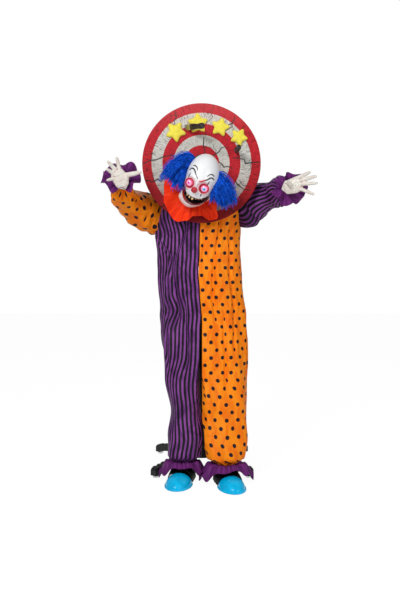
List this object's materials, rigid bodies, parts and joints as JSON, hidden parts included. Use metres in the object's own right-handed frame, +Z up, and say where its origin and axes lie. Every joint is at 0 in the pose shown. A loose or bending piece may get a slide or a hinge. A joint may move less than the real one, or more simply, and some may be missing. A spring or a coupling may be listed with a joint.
{
  "type": "animated halloween clown",
  "caption": "Life-size standing clown prop on a star base, with a round target behind its swaying head, a hinged jaw, posable arms and a two-pattern costume.",
  "frame": {"origin": "middle of the floor area that the figure covers, on the floor", "axes": "+Z up; the figure faces -Y; +X is the figure's left, which is the right of the picture"},
  "size_m": [0.9173, 0.7074, 1.694],
  "materials": {
    "black_plastic": "moulded black plastic with a fine grain",
    "black_steel": "black powder coat",
    "zinc_steel": "zinc plated",
    "striped_cloth": "satin polyester printed with purple and black stripes",
    "dotted_cloth": "satin polyester printed with black dots on orange",
    "purple_cloth": "gathered purple satin",
    "collar_cloth": "gathered orange-red satin",
    "target_board": "printed red and grey-white rings with painted cracks",
    "yellow_foam": "soft yellow foam with small dark slits",
    "knife_steel": "silver painted",
    "knife_grip": "black and brown painted",
    "white_mask": "white vinyl with airbrushed make-up",
    "jaw_skin": "pinkish white vinyl with dark lips",
    "head_shell": "plain white plastic",
    "tooth": "stained teeth in a dark gum",
    "eye": "lit pink eye with a coloured iris",
    "nose_red": "glossy red",
    "blue_hair": "crinkled blue fibre",
    "hand_skin": "off-white latex",
    "toe_blue": "glossy light blue",
    "shoe_black": "matt black"
  },
  "bodies": {
    "stand": {"base_hub": "black_plastic", "base_leg_fr": "black_plastic", "base_leg_fl": "black_plastic", "base_leg_rr": "black_plastic", "base_leg_rl": "black_plastic", "glide_fr": "zinc_steel", "glide_fl": "zinc_steel", "glide_rr": "zinc_steel", "glide_rl": "zinc_steel", "column_lower": "black_steel", "column_upper": "black_steel", "column_collar": "black_plastic", "hip_bar": "black_plastic", "leg_tube_right": "black_steel", "leg_tube_left": "black_steel", "shoe_right": "shoe_black", "shoe_left": "shoe_black", "toe_cap_right": "toe_blue", "toe_cap_left": "toe_blue", "ankle_ruffle_right": "purple_cloth", "ankle_ruffle_left": "purple_cloth", "suit_right": "striped_cloth", "suit_left": "dotted_cloth", "control_box": "black_plastic", "shoulder_bar": "black_plastic", "drive_case": "black_plastic", "drive_motor": "zinc_steel"},
    "door": {"battery_door": "black_plastic"},
    "switch": {"slide_switch": "black_plastic"},
    "target": {"target_board": "target_board", "target_washer": "black_plastic", "foam_star_1": "yellow_foam", "foam_star_2": "yellow_foam", "foam_star_3": "yellow_foam", "foam_star_4": "yellow_foam", "knife_blade_a": "knife_steel", "knife_blade_b": "knife_steel", "knife_grip_a": "knife_grip", "knife_grip_b": "knife_grip"},
    "head": {"head_shaft": "zinc_steel", "head_back": "head_shell", "face_mask": "white_mask", "teeth": "tooth", "eye_right": "eye", "eye_left": "eye", "nose": "nose_red", "hair_right": "blue_hair", "hair_left": "blue_hair", "collar": "collar_cloth"},
    "lower_jaw": {"jaw": "jaw_skin"},
    "upper_arm_right": {"upper_arm_right": "black_steel", "sleeve_right": "dotted_cloth"},
    "forearm_right": {"forearm_right": "black_steel", "hand_right": "hand_skin", "wrist_ruffle_right": "purple_cloth"},
    "upper_arm_left": {"upper_arm_left": "black_steel", "sleeve_left": "striped_cloth"},
    "forearm_left": {"forearm_left": "black_steel", "hand_left": "hand_skin", "wrist_ruffle_left": "purple_cloth"}
  },
  "joints": [
    {"name": "target_turn", "type": "hinge", "parent": "stand", "child": "target", "pos_m": [-0.038, -0.0215, 1.4255], "axis": [0, -1, 0], "range_deg": [-2, 20]},
    {"name": "head_sway", "type": "hinge", "parent": "stand", "child": "head", "pos_m": [-0.038, -0.0215, 1.4255], "axis": [0, -1, 0], "range_deg": [-2, 36]},
    {"name": "jaw_close", "type": "hinge", "parent": "head", "child": "lower_jaw", "pos_m": [-0.05512, -0.15035, 1.28703], "axis": [-0.91, 0.1677, 0.3791], "range_deg": [0, 16]},
    {"name": "shoulder_right", "type": "hinge", "parent": "stand", "child": "upper_arm_right", "pos_m": [-0.24, 0.1235, 1.272], "axis": [-0.5848, 0.7966, -0.1529], "range_deg": [-35, 20], "deforming": ["sleeve_right"]},
    {"name": "elbow_right", "type": "hinge", "parent": "upper_arm_right", "child": "forearm_right", "pos_m": [-0.393, 0.0035, 1.232], "axis": [-0.5263, 0.4257, 0.736], "range_deg": [-25, 10], "deforming": ["sleeve_right"]},
    {"name": "shoulder_left", "type": "hinge", "parent": "stand", "child": "upper_arm_left", "pos_m": [0.168, 0.1235, 1.285], "axis": [-0.6846, -0.7242, -0.0835], "range_deg": [-35, 20], "deforming": ["sleeve_left"]},
    {"name": "elbow_left", "type": "hinge", "parent": "upper_arm_left", "child": "forearm_left", "pos_m": [0.291, 0.0055, 1.3], "axis": [-0.1383, -0.0183, 0.9902], "range_deg": [-25, 25], "deforming": ["sleeve_left"]},
    {"name": "battery_door_slide", "type": "slide", "parent": "stand", "child": "door", "axis": [0, 0, -1], "range_m": [0, 0.055]},
    {"name": "power_switch", "type": "slide", "parent": "stand", "child": "switch", "axis": [1, 0, 0], "range_m": [0, 0.012]}
  ]
}
